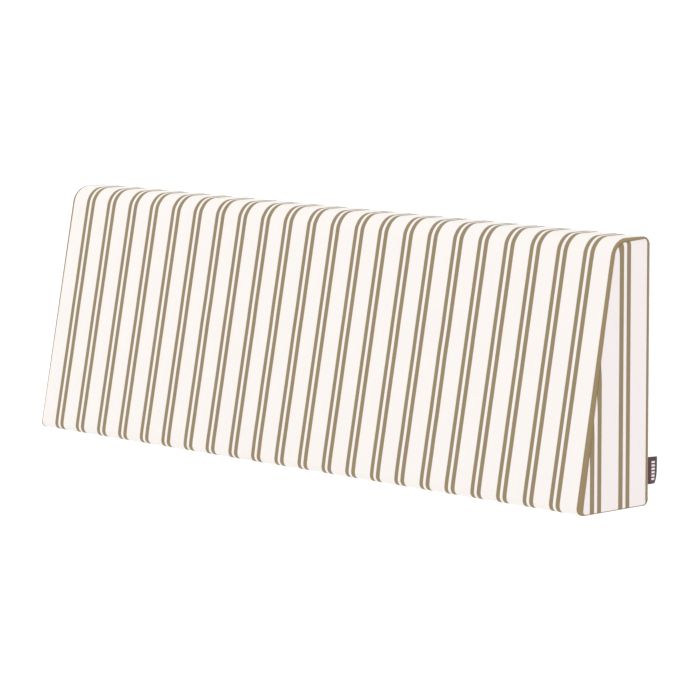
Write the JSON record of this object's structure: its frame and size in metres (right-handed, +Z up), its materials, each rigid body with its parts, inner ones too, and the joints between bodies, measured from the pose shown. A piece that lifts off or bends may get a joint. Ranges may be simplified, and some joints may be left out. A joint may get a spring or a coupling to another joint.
{
  "type": "back cushion",
  "caption": "Wedge-shaped boxed back cushion in striped cotton with contrast edging round both ends, standing on its flat base.",
  "frame": {"origin": "middle of the flat base, on the surface that the cushion stands on", "axes": "+X along the length, -Y out of the slanted front, +Y out of the upright back, +Z up"},
  "size_m": [0.9504, 0.1315, 0.3064],
  "materials": {
    "striped_cotton": "matt off-white cotton with pairs of narrow olive-brown woven stripes",
    "edging_cotton": "matt olive-brown woven cotton tape",
    "label_weave": "dark aubergine woven label with a soft sheen"
  },
  "bodies": {
    "root": {"cushion": "striped_cotton", "end_panel_right": "striped_cotton", "end_panel_left": "striped_cotton", "edging_right": "edging_cotton", "edging_left": "edging_cotton", "label": "label_weave"}
  },
  "joints": []
}
